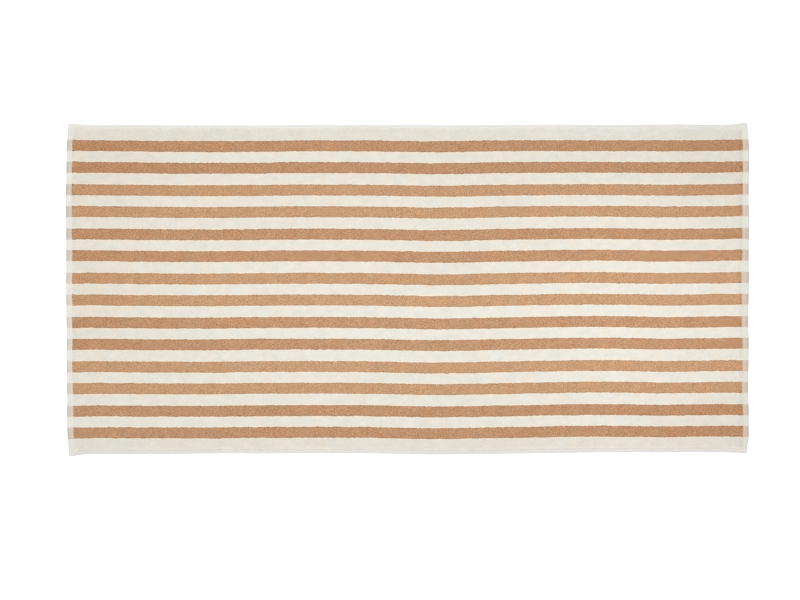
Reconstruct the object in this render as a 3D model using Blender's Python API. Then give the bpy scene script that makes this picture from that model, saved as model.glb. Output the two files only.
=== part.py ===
"""A striped terry bath towel, spread out flat on its back: one woven cloth, hemmed all round.

X runs along the towel, Y across it and Z up from the surface it lies on. The origin is on that surface,
under the middle of the cloth. All lengths are in metres.
"""

import math
from collections import namedtuple

import bmesh
import bpy

MM = 0.001

# The warp, from one side edge to the other: pairs of coloured stripes on an ecru ground.
LENGTH = 1.400
PAIRS = 7
STRIPE = 22.6 * MM
GAP_IN_PAIR = 21.9 * MM
GAP_BETWEEN_PAIRS = 23.3 * MM
BORDER = 32.5 * MM  # the ecru left beside the last stripe, with its hem
PAIR = 2 * STRIPE + GAP_IN_PAIR
WIDTH = PAIRS * PAIR + (PAIRS - 1) * GAP_BETWEEN_PAIRS + 2 * BORDER

# The hems are flat weave, turned under and sewn down. The pile stands higher than they do.
END_HEM = 11.7 * MM
SIDE_HEM = 6.5 * MM
HEM_THICKNESS = 2.4 * MM
RIM_THICKNESS = 1.0 * MM  # what is left of the hem's thickness at its outermost line
RIM_REACH = 1.2 * MM  # how far in the rounded rim runs
PILE_THICKNESS = 4.5 * MM
PILE_SLOPE = 5.0 * MM  # how far in the pile takes to reach its full height

# The lines of corners that run across the faceted cloth are at most this far apart.
SPAN = 34.0 * MM

# How the weft lies: how far it has slid towards +Y at a station along the towel, at the far edge (+Y),
# by the outermost stripe there, in the middle, by the outermost near stripe and at the near edge (-Y),
# in millimetres.
Lay = namedtuple("Lay", "station far_edge far middle near near_edge")
LAY = (
    Lay(-0.69, 2.5, 1.9, 1.0, -0.5, -2.5),
    Lay(-0.67, 1.1, 1.6, 1.0, -0.2, -0.8),
    Lay(-0.64, 0.0, 1.1, 1.1, 0.5, 0.5),
    Lay(-0.57, 0.2, 0.7, 0.3, 0.4, 0.2),
    Lay(-0.50, -0.1, -0.4, -0.3, 0.3, 0.2),
    Lay(-0.40, -0.3, -0.6, -0.5, 0.2, 1.5),
    Lay(-0.30, -0.4, -0.5, 0.5, 1.3, 1.4),
    Lay(-0.23, 0.3, 0.8, 0.9, 1.5, 1.7),
    Lay(-0.16, 0.3, 0.7, 0.9, 1.7, 1.7),
    Lay(-0.09, 0.7, 0.9, 0.4, 1.7, 1.7),
    Lay(-0.02, 0.7, -0.1, -0.6, 0.1, 0.4),
    Lay(0.05, 0.1, -0.7, -2.2, -0.8, -0.5),
    Lay(0.11, 0.0, -0.2, -1.7, -0.2, -0.2),
    Lay(0.18, 0.5, 1.0, -0.1, 0.8, 0.4),
    Lay(0.24, 0.8, 1.2, 0.9, 1.6, 1.5),
    Lay(0.31, 1.0, 1.0, 2.0, 3.0, 2.3),
    Lay(0.38, 0.2, 0.9, 2.6, 3.9, 3.5),
    Lay(0.45, 0.8, 1.0, 2.0, 3.7, 3.8),
    Lay(0.52, 1.2, 1.1, 0.6, 2.9, 3.7),
    Lay(0.56, 1.6, 1.3, 0.9, 3.5, 3.9),
    Lay(0.60, 0.8, 1.4, 1.2, 4.1, 4.2),
    Lay(0.65, 0.7, 1.6, 2.3, 4.0, 3.6),
    Lay(0.69, 2.5, 2.9, 2.7, 3.0, 2.6),
)

# How far in from its full length each end lies at a place across the towel, in millimetres.
End = namedtuple("End", "across left right")
ENDS = (
    End(-0.335, 7.0, 5.0),
    End(-0.325, 6.7, 4.0),
    End(-0.313, 5.0, 1.9),
    End(-0.297, 4.1, 0.8),
    End(-0.275, 3.0, 0.8),
    End(-0.248, 3.0, 0.8),
    End(-0.210, 3.1, 2.2),
    End(-0.140, 2.3, 0.8),
    End(-0.100, 2.8, 0.8),
    End(-0.075, 2.1, 1.6),
    End(-0.045, 1.6, 1.4),
    End(0.020, 1.2, 0.5),
    End(0.060, 1.3, 1.2),
    End(0.105, 1.1, 0.6),
    End(0.140, 0.6, 0.3),
    End(0.190, 0.1, 1.0),
    End(0.235, 1.4, 0.3),
    End(0.270, 1.8, 0.1),
    End(0.297, 2.5, 0.9),
    End(0.312, 4.0, 2.3),
    End(0.323, 5.0, 2.9),
    End(0.334, 6.3, 4.9),
)
END_REACH = 60 * MM  # how far along the towel the drawing-in of an end is felt

# The corners, each at an end (-1 for -X) and a side (-1 for -Y): how far the end hem stands out past
# the side hem there, in millimetres.
Corner = namedtuple("Corner", "end side tab")
CORNERS = (
    Corner(-1, 1, 0.5),
    Corner(1, 1, 1.5),
    Corner(-1, -1, 1.6),
    Corner(1, -1, 0.4),
)
TAB_LENGTH = 13.5 * MM
TAB_STEP = 4 * MM  # how far along the towel the tab takes to meet the side hem
TAB_ACROSS = 14 * MM
CORNER_WEAR = 0.4 * MM  # how far the very corner is worn in, both ways
CORNER_WEAR_REACH = 5 * MM

# Soft swells, where the cloth lies a little off the surface: the middle of each, how far it reaches
# each way, in metres, and its height in millimetres.
Swell = namedtuple("Swell", "along across reach_along reach_across height")
SWELLS = (
    Swell(-0.70, -0.34, 0.080, 0.065, 2.1),
    Swell(0.70, 0.34, 0.085, 0.060, 2.3),
    Swell(-0.70, 0.34, 0.065, 0.055, 1.4),
    Swell(0.70, -0.34, 0.065, 0.065, 1.6),
    Swell(0.05, -0.34, 0.130, 0.055, 1.3),
    Swell(-0.36, 0.34, 0.140, 0.045, 1.1),
    Swell(0.33, 0.34, 0.110, 0.050, 1.2),
    Swell(-0.44, -0.34, 0.110, 0.045, 0.9),
    Swell(0.46, -0.34, 0.120, 0.050, 1.1),
    Swell(0.70, 0.06, 0.050, 0.110, 1.1),
    Swell(-0.70, -0.05, 0.045, 0.120, 0.9),
    Swell(0.38, 0.00, 0.090, 0.130, 0.8),
    Swell(-0.45, 0.14, 0.080, 0.070, 0.6),
    Swell(-0.08, -0.12, 0.110, 0.080, 0.6),
)

YARNS = {
    "ecru": (0.80, 0.76, 0.68),
    "clay": (0.55, 0.29, 0.16),
    "sand": (0.60, 0.35, 0.20),
    "hem": (0.80, 0.77, 0.71),
}
YARN_ROUGHNESS = 0.95


def clear_the_scene():
    for thing in list(bpy.data.objects):
        bpy.data.objects.remove(thing)


def curve_through(rows, place, column):
    """A table's column on a smooth curve through its rows, at a place in the table's first column."""
    places = [row[0] for row in rows]
    values = [getattr(row, column) for row in rows]
    if place <= places[0]:
        return values[0]
    if place >= places[-1]:
        return values[-1]
    last = len(rows) - 1
    here = max(i for i in range(last) if places[i] <= place)

    def slope(i):
        before, after = max(i - 1, 0), min(i + 1, last)
        return (values[after] - values[before]) / (places[after] - places[before])

    step = places[here + 1] - places[here]
    t = (place - places[here]) / step
    return (
        values[here] * (1 + 2 * t) * (1 - t) ** 2
        + slope(here) * step * t * (1 - t) ** 2
        + values[here + 1] * t * t * (3 - 2 * t)
        - slope(here + 1) * step * t * t * (1 - t)
    )


def fade(distance, reach):
    """1 at no distance, falling softly to 0 at reach."""
    share = min(abs(distance) / reach, 1.0)
    return (1 + math.cos(math.pi * share)) / 2


def stripes():
    """(low edge, high edge, yarn) of each coloured stripe, from the cloth's near side to its far one."""
    found = []
    for pair in range(PAIRS):
        start = -WIDTH / 2 + BORDER + pair * (PAIR + GAP_BETWEEN_PAIRS)
        yarn = "clay" if pair % 2 == 0 else "sand"
        for low in (start, start + STRIPE + GAP_IN_PAIR):
            found.append((low, low + STRIPE, yarn))
    return found


def yarn_at(along, across):
    """The yarn that shows at a place on the cloth."""
    if abs(along) > LENGTH / 2 - END_HEM or abs(across) > WIDTH / 2 - SIDE_HEM:
        return "hem"
    return next((yarn for low, high, yarn in stripes() if low < across < high), "ecru")


def slide(along, across):
    """How far towards +Y a place has slid, in millimetres."""
    far_edge, far, middle, near, near_edge = (
        curve_through(LAY, along, column) for column in Lay._fields[1:]
    )
    side = across / (WIDTH / 2)
    slid = middle + side * (far - near) / 2 + side * side * ((far + near) / 2 - middle)
    slid += (far_edge - far) * fade(across - WIDTH / 2, BORDER)
    slid += (near_edge - near) * fade(across + WIDTH / 2, BORDER)
    return slid


def laid(along, across):
    """Where a place on the flat cloth lies on the surface, as (x, y)."""
    x, y = along, across + slide(along, across) * MM
    for end, column in ((-1, "left"), (1, "right")):
        drawn_in = curve_through(ENDS, across, column) * MM
        x -= end * drawn_in * fade(along - end * LENGTH / 2, END_REACH)
    for corner in CORNERS:
        before = abs(along - corner.end * LENGTH / 2)
        beside = abs(across - corner.side * WIDTH / 2)
        on_tab = fade(max(before - TAB_LENGTH, 0.0), TAB_STEP) * fade(beside, TAB_ACROSS)
        worn = CORNER_WEAR * fade(before, CORNER_WEAR_REACH) * fade(beside, CORNER_WEAR_REACH)
        x -= corner.end * worn
        y += corner.side * (corner.tab * on_tab * MM - worn)
    return x, y


def lift(along, across):
    """How far the cloth's underside is off the surface."""
    return sum(
        swell.height
        * MM
        * fade(along - swell.along, swell.reach_along)
        * fade(across - swell.across, swell.reach_across)
        for swell in SWELLS
    )


def thickness(along, across):
    """The hem's thickness, which grows to the pile's past the hem's inner edge."""
    to_end = LENGTH / 2 - abs(along)
    to_side = WIDTH / 2 - abs(across)
    from_rim = min(to_end, to_side)
    if from_rim < RIM_REACH:
        return RIM_THICKNESS + (HEM_THICKNESS - RIM_THICKNESS) * max(from_rim, 0.0) / RIM_REACH
    into_pile = min(to_end - END_HEM, to_side - SIDE_HEM)
    grown = min(max(into_pile / PILE_SLOPE, 0.0), 1.0)
    return HEM_THICKNESS + (PILE_THICKNESS - HEM_THICKNESS) * grown


def faces_at(along, across):
    """The heights of the cloth's underside and of its face at a place on it."""
    thick = thickness(along, across)
    under = lift(along, across) + max(HEM_THICKNESS - thick, 0.0) / 2
    return under, under + thick


def edge_lines(half, *inward):
    """Where the lines of corners run at one side of the cloth, given how far in the inner ones are."""
    return [half, half - RIM_REACH, *(half - place for place in inward)]


def evenly(low, high, apart):
    """Places from low to high, at most apart from each other."""
    spans = math.ceil((high - low) / apart)
    return [low + (high - low) * i / spans for i in range(spans + 1)]


def lines_along():
    """The stations of the lines that run across the towel, from its left end to its right one."""
    inward = (END_HEM, END_HEM + PILE_SLOPE, TAB_LENGTH, TAB_LENGTH + TAB_STEP)
    rims = edge_lines(LENGTH / 2, *sorted(inward))
    inner = rims[-1]
    return [-place for place in rims[:-1]] + evenly(-inner, inner, SPAN) + rims[-2::-1]


def lines_across():
    """The places of the lines that run along the towel: the rims, the hems and each stripe's edges."""
    rims = edge_lines(WIDTH / 2, SIDE_HEM, SIDE_HEM + PILE_SLOPE)
    edges = [edge for low, high, _ in stripes() for edge in (low, high)]
    border_middle = (rims[-1] + edges[-1]) / 2
    return [-p for p in rims] + [-border_middle, *edges, border_middle] + rims[::-1]


def yarn_material(name):
    made = bpy.data.materials.new(f"{name}_yarn")
    made.use_nodes = True
    shader = made.node_tree.nodes["Principled BSDF"]
    shader.inputs["Base Color"].default_value = (*YARNS[name], 1.0)
    shader.inputs["Roughness"].default_value = YARN_ROUGHNESS
    return made


def spread_cloth(work, stations, places):
    """A flat grid with a corner at each crossing, and those crossings, as (along, across) by vertex."""
    bmesh.ops.create_grid(
        work, x_segments=len(stations) - 1, y_segments=len(places) - 1, size=0.5
    )
    crossings = {}
    for corner in work.verts:
        column = round((corner.co.x + 0.5) * (len(stations) - 1))
        row = round((corner.co.y + 0.5) * (len(places) - 1))
        crossings[corner] = (stations[column], places[row])
    return crossings


def thicken(work, crossings):
    """Gives the flat grid its underside and rim, and lays both faces out."""
    copied = bmesh.ops.duplicate(work, geom=work.verts[:] + work.edges[:] + work.faces[:])
    underside = {
        copied["vert_map"][corner]: place for corner, place in list(crossings.items())
    }
    for corner, (along, across) in crossings.items():
        corner.co = (*laid(along, across), faces_at(along, across)[1])
    for corner, (along, across) in underside.items():
        corner.co = (*laid(along, across), faces_at(along, across)[0])
    rims = [edge for edge in work.edges if edge.is_boundary]
    bmesh.ops.bridge_loops(work, edges=rims)
    bmesh.ops.recalc_face_normals(work, faces=work.faces)
    return {**crossings, **underside}


def dress(work, places, yarns):
    """Gives each face the yarn of the place that it stands for."""
    for face in work.faces:
        corners = [places[corner] for corner in face.verts]
        along = sum(corner[0] for corner in corners) / len(corners)
        across = sum(corner[1] for corner in corners) / len(corners)
        face.material_index = yarns.index(yarn_at(along, across))


def centre(work):
    """Moves the cloth so that the origin is under the middle of its box, on the surface."""
    corners = [corner.co for corner in work.verts]
    lows = [min(co[axis] for co in corners) for axis in range(3)]
    highs = [max(co[axis] for co in corners) for axis in range(3)]
    middle = ((lows[0] + highs[0]) / 2, (lows[1] + highs[1]) / 2, lows[2])
    bmesh.ops.translate(work, vec=[-value for value in middle], verts=work.verts)


def make_towel():
    yarns = list(YARNS)
    work = bmesh.new()
    crossings = spread_cloth(work, lines_along(), lines_across())
    places = thicken(work, crossings)
    dress(work, places, yarns)
    centre(work)
    mesh = bpy.data.meshes.new("towel")
    work.to_mesh(mesh)
    work.free()
    for name in yarns:
        mesh.materials.append(yarn_material(name))
    mesh.shade_smooth()
    mesh.set_sharp_from_angle(angle=math.radians(40))
    towel = bpy.data.objects.new("towel", mesh)
    bpy.context.scene.collection.objects.link(towel)


clear_the_scene()
make_towel()
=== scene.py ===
"""How the striped bath towel looks: a ground cloth with flat-woven hems, looped pile on both of its faces
in ecru, clay and sand, and the hems' stitches, on a plain white floor.

Each piece is first made flat, in the cloth's own measures: along it, across it and up from its back. Then
lay_out() slides and lifts every point to where the cloth lies. Lengths are in metres.
"""

import math
from collections import namedtuple

import bmesh
import bpy
import numpy as np
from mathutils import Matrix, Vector


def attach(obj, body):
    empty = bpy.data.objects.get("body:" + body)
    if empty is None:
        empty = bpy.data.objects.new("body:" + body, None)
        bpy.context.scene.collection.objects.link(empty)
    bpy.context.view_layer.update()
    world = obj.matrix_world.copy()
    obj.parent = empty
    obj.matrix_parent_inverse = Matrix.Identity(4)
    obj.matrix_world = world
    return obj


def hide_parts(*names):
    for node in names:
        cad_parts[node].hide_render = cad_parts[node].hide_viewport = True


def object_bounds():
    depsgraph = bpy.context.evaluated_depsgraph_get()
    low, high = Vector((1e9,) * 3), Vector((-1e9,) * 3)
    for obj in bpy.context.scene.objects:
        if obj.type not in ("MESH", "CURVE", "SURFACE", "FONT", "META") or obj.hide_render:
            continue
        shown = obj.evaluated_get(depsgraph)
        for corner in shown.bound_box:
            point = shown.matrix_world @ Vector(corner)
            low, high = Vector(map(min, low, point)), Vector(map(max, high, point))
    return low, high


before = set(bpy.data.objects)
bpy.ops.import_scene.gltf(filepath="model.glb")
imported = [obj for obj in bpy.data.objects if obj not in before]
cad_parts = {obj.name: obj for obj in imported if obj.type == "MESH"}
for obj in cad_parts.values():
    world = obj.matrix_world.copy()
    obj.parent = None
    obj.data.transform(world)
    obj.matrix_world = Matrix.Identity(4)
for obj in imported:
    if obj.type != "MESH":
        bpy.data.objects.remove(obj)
cad_low, cad_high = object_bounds()

MM = 0.001
TINY = 1e-6
Band = namedtuple("Band", "low high")

# ---- The cloth's measures --------------------------------------------------------------

LENGTH = 1.400
PAIRS = 7
STRIPE = 22.6 * MM
GAP_IN_PAIR = 21.9 * MM
GAP_BETWEEN_PAIRS = 23.3 * MM
BORDER = 32.5 * MM  # the ecru left beside the last stripe, with its hem
PAIR = 2 * STRIPE + GAP_IN_PAIR
WIDTH = PAIRS * PAIR + (PAIRS - 1) * GAP_BETWEEN_PAIRS + 2 * BORDER

END_HEM = 11.7 * MM
SIDE_HEM = 6.5 * MM
HEM_THICKNESS = 2.4 * MM
PILE_THICKNESS = 4.5 * MM
PILE_SLOPE = 8 * MM  # how far in the pile takes to reach its full height
GROUND = Band(1.7 * MM, 2.7 * MM)  # the ground cloth's back and face, under the pile
STEP_REACH = 3 * MM  # how far in from a hem the ground cloth takes to reach those heights
RIM_REACH = 2.0 * MM  # how far in the fold of a hem is rounded
BLUNTNESS = 0.02  # what keeps the hem's two faces a little apart at the fold itself

# How much of each end hem shows before the pile, at a place across the towel, in millimetres.
Shown = namedtuple("Shown", "across left right")
SHOWN = (
    Shown(-0.290, 13.6, 12.2),
    Shown(-0.250, 13.4, 12.3),
    Shown(-0.200, 12.5, 12.8),
    Shown(-0.160, 11.7, 12.6),
    Shown(-0.100, 12.0, 13.6),
    Shown(-0.020, 12.6, 13.9),
    Shown(0.022, 12.9, 15.9),
    Shown(0.068, 12.8, 13.6),
    Shown(0.112, 12.4, 14.3),
    Shown(0.160, 12.5, 13.4),
    Shown(0.200, 12.6, 12.6),
    Shown(0.246, 12.0, 13.2),
    Shown(0.290, 11.6, 13.1),
)

# How the weft lies: how far it has slid towards +Y at a station along the towel, at the far edge (+Y),
# by the outermost stripe there, in the middle, by the outermost near stripe and at the near edge (-Y),
# in millimetres.
Lay = namedtuple("Lay", "station far_edge far middle near near_edge")
LAY = (
    Lay(-0.69, 2.5, 1.9, 1.0, -0.5, -2.5),
    Lay(-0.67, 1.1, 1.6, 1.0, -0.2, -0.8),
    Lay(-0.64, 0.0, 1.1, 1.1, 0.5, 0.5),
    Lay(-0.57, 0.2, 0.7, 0.3, 0.4, 0.2),
    Lay(-0.50, -0.1, -0.4, -0.3, 0.3, 0.2),
    Lay(-0.40, -0.3, -0.6, -0.5, 0.2, 1.5),
    Lay(-0.30, -0.4, -0.5, 0.5, 1.3, 1.4),
    Lay(-0.23, 0.3, 0.8, 0.9, 1.5, 1.7),
    Lay(-0.16, 0.3, 0.7, 0.9, 1.7, 1.7),
    Lay(-0.09, 0.7, 0.9, 0.4, 1.7, 1.7),
    Lay(-0.02, 0.7, -0.1, -0.6, 0.1, 0.4),
    Lay(0.05, 0.1, -0.7, -2.2, -0.8, -0.5),
    Lay(0.11, 0.0, -0.2, -1.7, -0.2, -0.2),
    Lay(0.18, 0.5, 1.0, -0.1, 0.8, 0.4),
    Lay(0.24, 0.8, 1.2, 0.9, 1.6, 1.5),
    Lay(0.31, 1.0, 1.0, 2.0, 3.0, 2.3),
    Lay(0.38, 0.2, 0.9, 2.6, 3.9, 3.5),
    Lay(0.45, 0.8, 1.0, 2.0, 3.7, 3.8),
    Lay(0.52, 1.2, 1.1, 0.6, 2.9, 3.7),
    Lay(0.56, 1.6, 1.3, 0.9, 3.5, 3.9),
    Lay(0.60, 0.8, 1.4, 1.2, 4.1, 4.2),
    Lay(0.65, 0.7, 1.6, 2.3, 4.0, 3.6),
    Lay(0.69, 2.5, 2.9, 2.7, 3.0, 2.6),
)

# How far in from its full length each end lies at a place across the towel, in millimetres.
End = namedtuple("End", "across left right")
ENDS = (
    End(-0.335, 7.0, 5.0),
    End(-0.325, 6.7, 4.0),
    End(-0.313, 5.0, 1.9),
    End(-0.297, 4.1, 0.8),
    End(-0.275, 3.0, 0.8),
    End(-0.248, 3.0, 0.8),
    End(-0.210, 3.1, 2.2),
    End(-0.140, 2.3, 0.8),
    End(-0.100, 2.8, 0.8),
    End(-0.075, 2.1, 1.6),
    End(-0.045, 1.6, 1.4),
    End(0.020, 1.2, 0.5),
    End(0.060, 1.3, 1.2),
    End(0.105, 1.1, 0.6),
    End(0.140, 0.6, 0.3),
    End(0.190, 0.1, 1.0),
    End(0.235, 1.4, 0.3),
    End(0.270, 1.8, 0.1),
    End(0.297, 2.5, 0.9),
    End(0.312, 4.0, 2.3),
    End(0.323, 5.0, 2.9),
    End(0.334, 6.3, 4.9),
)
END_REACH = 60 * MM  # how far along the towel the drawing-in of an end is felt

# The corners, each at an end (-1 for -X) and a side (-1 for -Y): how far the end hem stands out past
# the side hem there, in millimetres.
Corner = namedtuple("Corner", "end side tab")
CORNERS = (
    Corner(-1, 1, 0.5),
    Corner(1, 1, 1.5),
    Corner(-1, -1, 1.6),
    Corner(1, -1, 0.4),
)
TAB_LENGTH = 13.5 * MM
TAB_STEP = 4 * MM  # how far along the towel the tab takes to meet the side hem
TAB_ACROSS = 14 * MM
CORNER_WEAR = 0.4 * MM  # how far the very corner is worn in, both ways
CORNER_WEAR_REACH = 5 * MM
EDGE_STEPS = 1500  # how many steps each edge is measured in

# Soft swells, where the cloth lies a little off the surface: the middle of each, how far it reaches
# each way, in metres, and its height in millimetres.
Swell = namedtuple("Swell", "along across reach_along reach_across height")
SWELLS = (
    Swell(-0.70, -0.34, 0.080, 0.065, 2.1),
    Swell(0.70, 0.34, 0.085, 0.060, 2.3),
    Swell(-0.70, 0.34, 0.065, 0.055, 1.4),
    Swell(0.70, -0.34, 0.065, 0.065, 1.6),
    Swell(0.05, -0.34, 0.130, 0.055, 1.3),
    Swell(-0.36, 0.34, 0.140, 0.045, 1.1),
    Swell(0.33, 0.34, 0.110, 0.050, 1.2),
    Swell(-0.44, -0.34, 0.110, 0.045, 0.9),
    Swell(0.46, -0.34, 0.120, 0.050, 1.1),
    Swell(0.70, 0.06, 0.050, 0.110, 1.1),
    Swell(-0.70, -0.05, 0.045, 0.120, 0.9),
    Swell(0.38, 0.00, 0.090, 0.130, 0.8),
    Swell(-0.45, 0.14, 0.080, 0.070, 0.6),
    Swell(-0.08, -0.12, 0.110, 0.080, 0.6),
)

# The pile. One strip of it is cut along into columns, and across into rows on its face and on its back.
COLUMN_CUTS = (100, 7)  # made one after the other: 101 lengths, then each of them in 8
FACE_ROWS = 13
BACK_ROWS = 3
OVERLAP = 0.12 * MM  # how far each strip's loops lean into the next one's
BACK_HEIGHT = 0.12 * MM  # how far the pile's back is off the surface
BACK_EDGE_RISE = 0.3 * MM  # how much higher it is along a strip's edges

# The loops' unevenness: the size of a patch and how far it moves the loops, both in metres.
Unevenness = namedtuple("Unevenness", "size amount")
HEIGHT_UNEVENNESS = (
    Unevenness(55 * MM, 0.16 * MM),
    Unevenness(5.5 * MM, 0.24 * MM),
    Unevenness(1.7 * MM, 0.30 * MM),
)
SIDEWAYS_UNEVENNESS = (
    Unevenness(15 * MM, 0.45 * MM),
    Unevenness(4.2 * MM, 0.35 * MM),
)
STRAY_LOOPS = (Unevenness(2.4 * MM, 0.65 * MM),)  # at a strip's edges only
BACK_UNEVENNESS = (Unevenness(12 * MM, 0.11 * MM),)
HEM_UNEVENNESS = (Unevenness(17 * MM, 0.13 * MM),)
# The seed of each kind's first layer of patches. Its further layers take the seeds that follow.
SEEDS = {"height": 10, "back": 20, "sideways": 30, "endways": 34, "stray": 38, "hem": 40}
OUTERMOST_LOOPS = 2.95 * MM  # how high the loops beside a hem stand
CALMER = 0.6  # how much less uneven those are than the others
RIM = 2.1 * MM  # how wide the band of loops is that are tinted, beside another yarn's strip
WELL_INSIDE = 9 * MM  # the way to such a strip that the loops along a side hem are given

# The hems: how far from the edge their stitches run, and the grid's lines that shape them, by their places
# from the edge and from the stitches, in millimetres.
END_STITCHES = 8.4
SIDE_STITCHES = 4.6
RIM_LINES = (0, 0.25, 0.7, 1.3, 2.4)
GROOVE_LINES = (-1.2, -0.5, 0, 0.5, 1.2)
END_GROOVE = 0.22 * MM  # how deep the stitches pull the end hems in, and the side hems
SIDE_GROOVE = 0.10 * MM
GROOVE_WIDTH = 0.55 * MM
GROUND_SPACING = 8 * MM

# The stitches: each is a ball with so many sides and rings, drawn out.
STITCH_SIDES = 6
STITCH_RINGS = 4
STITCH = (2.3 * MM, 0.50 * MM, 0.36 * MM)  # its length, width and height
STITCH_RISE = 0.06 * MM  # how far its middle is above the hem
STITCH_PITCH = 3.1 * MM
ROW_INSET = 3 * MM  # how far from the cloth's edges a row of stitches starts and stops

# The texture maps, in shares of a map's side. The ground cloth's has its back under its face, and gives the
# hems at each end of it more than their share of room.
MAP_MARGIN = 0.002
HEM_ROOM = 0.12
CLOTH_BACK = Band(0, 0.49)
CLOTH_FACE = Band(0.505, 0.995)
# A strip's map lays its lengths one under another. Across each of them come the strip's face, its near
# side, its back and its far side, and after each of them, one of the strip's ends where there is one.
MAP_LENGTHS = 4
STRIP_FACE = Band(0.01, 0.71)
STRIP_NEAR = Band(0.73, 0.78)
STRIP_BACK = Band(0.80, 0.92)
STRIP_FAR = Band(0.94, 0.99)
ALONG_LENGTH = Band(0.002, 0.980)
ALONG_END = Band(0.984, 0.998)
ACROSS_END = Band(0.05, 0.95)
STITCH_SQUARE = Band(0.05, 0.95)  # what a stitch takes of its own square, each way

# ---- Colours ---------------------------------------------------------------------------

# Each yarn: its lightest loops and its darkest, and how much single loops, clumps of them and whole patches
# differ. The darkest loops are partly painted shade, the shade in the gaps between loops mixed in as a
# random speckle, and partly the loops' own uneven tone. Then the tint of the loops beside another yarn's
# strip, how much lower those stand, and how strongly the yarn takes the patches of deeper colour. That tint
# mixes in the other yarn's colour and is also painted light and shade: the ecru's rim painted lighter where
# its loops stand proud, the dyed yarns' rim painted darker where the ecru loops overhang them.
Yarn = namedtuple("Yarn", "light dark single clump drift rim shoulder takes")
DYED_RIM_SHADE_AND_MIX = (0.82, 0.89, 0.915)
YARNS = {
    "ecru": Yarn((0.88, 0.842, 0.757), (0.70, 0.662, 0.585), 1.3, 0.62, 1.0, (1.13, 1.03, 0.96), 0, 0.45),
    "clay": Yarn((0.772, 0.465, 0.28), (0.262, 0.101, 0.025), 1.6, 0.22, 1.7, DYED_RIM_SHADE_AND_MIX, 0.25, 1),
    "sand": Yarn((0.811, 0.504, 0.303), (0.305, 0.140, 0.047), 1.6, 0.22, 1.7, DYED_RIM_SHADE_AND_MIX, 0.25, 1),
}
# Patches where the colour is made deeper, or paler if the depth is under 0: the middle of each and how far
# it reaches each way. DEEPER is what a depth of 1 takes from the colour.
Patch = namedtuple("Patch", "along across reach_along reach_across depth")
PATCHES = (
    Patch(-0.70, 0.27, 0.36, 0.16, 1.6),
    Patch(-0.70, 0.00, 0.25, 0.22, 1.2),
    Patch(0.68, 0.23, 0.25, 0.15, 1.2),
    Patch(0.62, -0.27, 0.32, 0.10, 0.8),
    Patch(-0.05, -0.08, 0.45, 0.15, -0.9),
    Patch(0.45, -0.09, 0.25, 0.08, -0.7),
    Patch(-0.60, -0.30, 0.18, 0.10, -0.8),
    Patch(-0.35, 0.20, 0.16, 0.10, 0.7),
    Patch(0.45, 0.33, 0.45, 0.04, -1.5),
    Patch(-0.66, 0.33, 0.32, 0.04, -1.2),
    # Painted light: this pale patch lightens the pile where the swell at that corner is shaded.
    Patch(0.68, 0.265, 0.12, 0.035, -1.1),
)
DEEPER = np.array((0.025, 0.060, 0.095))
BESIDE_SIDE_HEM = np.array((0.030, 0.040, 0.045))  # how much lighter the border's outermost loops are
# The painted highlight beside the near side hem: a line of loops painted lighter where the pile's edge
# catches the light. How much lighter they are, how far in from the pile's edge it runs, and how far it
# is felt on each side.
RIDGE_HIGHLIGHT = 0.07
RIDGE_HIGHLIGHT_PLACE = 5.0 * MM
RIDGE_HIGHLIGHT_REACH = 4.0 * MM
# The thin shadow line on the pile beside that hem: where along the towel it runs nearest to the edge, how
# near that is, and how dark it is there. Then how much it moves in and darkens, by the square of the way
# from that place, and how far it is felt on each side.
SHADOW_STATION = -0.10
SHADOW_PLACE = 7.7 * MM
SHADOW = 0.07
SHADOW_BOW = 2.6 * MM
SHADOW_DEEPENING = 0.05
SHADOW_REACH = 1.3 * MM
# The sizes of what varies in the pile's colour: a loop's round top, single loops, clumps of them and whole
# patches, which go from a cooler tint to a warmer one.
LOOP_TOP = 1.25 * MM
SINGLE_LOOP = 1.6 * MM
LOOP_CLUMP = 14 * MM
LOOP_PATCH = 28 * MM
COOLER = (0.985, 1.005, 1.023)
WARMER = (1.015, 0.995, 0.977)
# What varies in all of the cloth: the broad and the close unevenness that washing leaves.
BROAD_WEAR = 110 * MM
CLOSE_WEAR = 26 * MM
SLUB = 2.6 * MM  # the size of a thicker place in a flat weave's thread
HOLLOW_SHADE = 0.07  # how much darker a flat weave is painted between its threads: painted shade in the hollows

# The hems' colour at the fold, in the middle and beside the pile: where the warp is plain, where it is
# dyed, and along the two sides. The darker end-hem folds and the darker middle of the near side hem are
# partly painted shade, where the rounded fold turns away from the light, and partly the yarns' own tone
# there.
Hem = namedtuple("Hem", "fold middle inner")
PLAIN_HEM = Hem((0.79, 0.78, 0.73), (0.815, 0.79, 0.72), (0.83, 0.80, 0.715))
DYED_HEM = Hem((0.575, 0.535, 0.48), (0.67, 0.59, 0.51), (0.755, 0.63, 0.505))
FAR_SIDE = Hem((0.80, 0.79, 0.762), (0.80, 0.783, 0.738), (0.838, 0.83, 0.782))
NEAR_SIDE = Hem((0.79, 0.78, 0.755), (0.722, 0.703, 0.664), (0.83, 0.797, 0.76))
# Where one of these colours gives way to the next, from the edge inwards: the fold's to the middle's, the
# middle's to that beside the pile, in the end hems and in the side hems, and a side hem's to an end hem's.
PAST_FOLD = Band(0.8 * MM, 4 * MM)
BESIDE_END_PILE = Band(6.5 * MM, 9.5 * MM)
BESIDE_SIDE_PILE = Band(3.2 * MM, 5.4 * MM)
PAST_SIDE_HEM = Band(6 * MM, 9 * MM)
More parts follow.
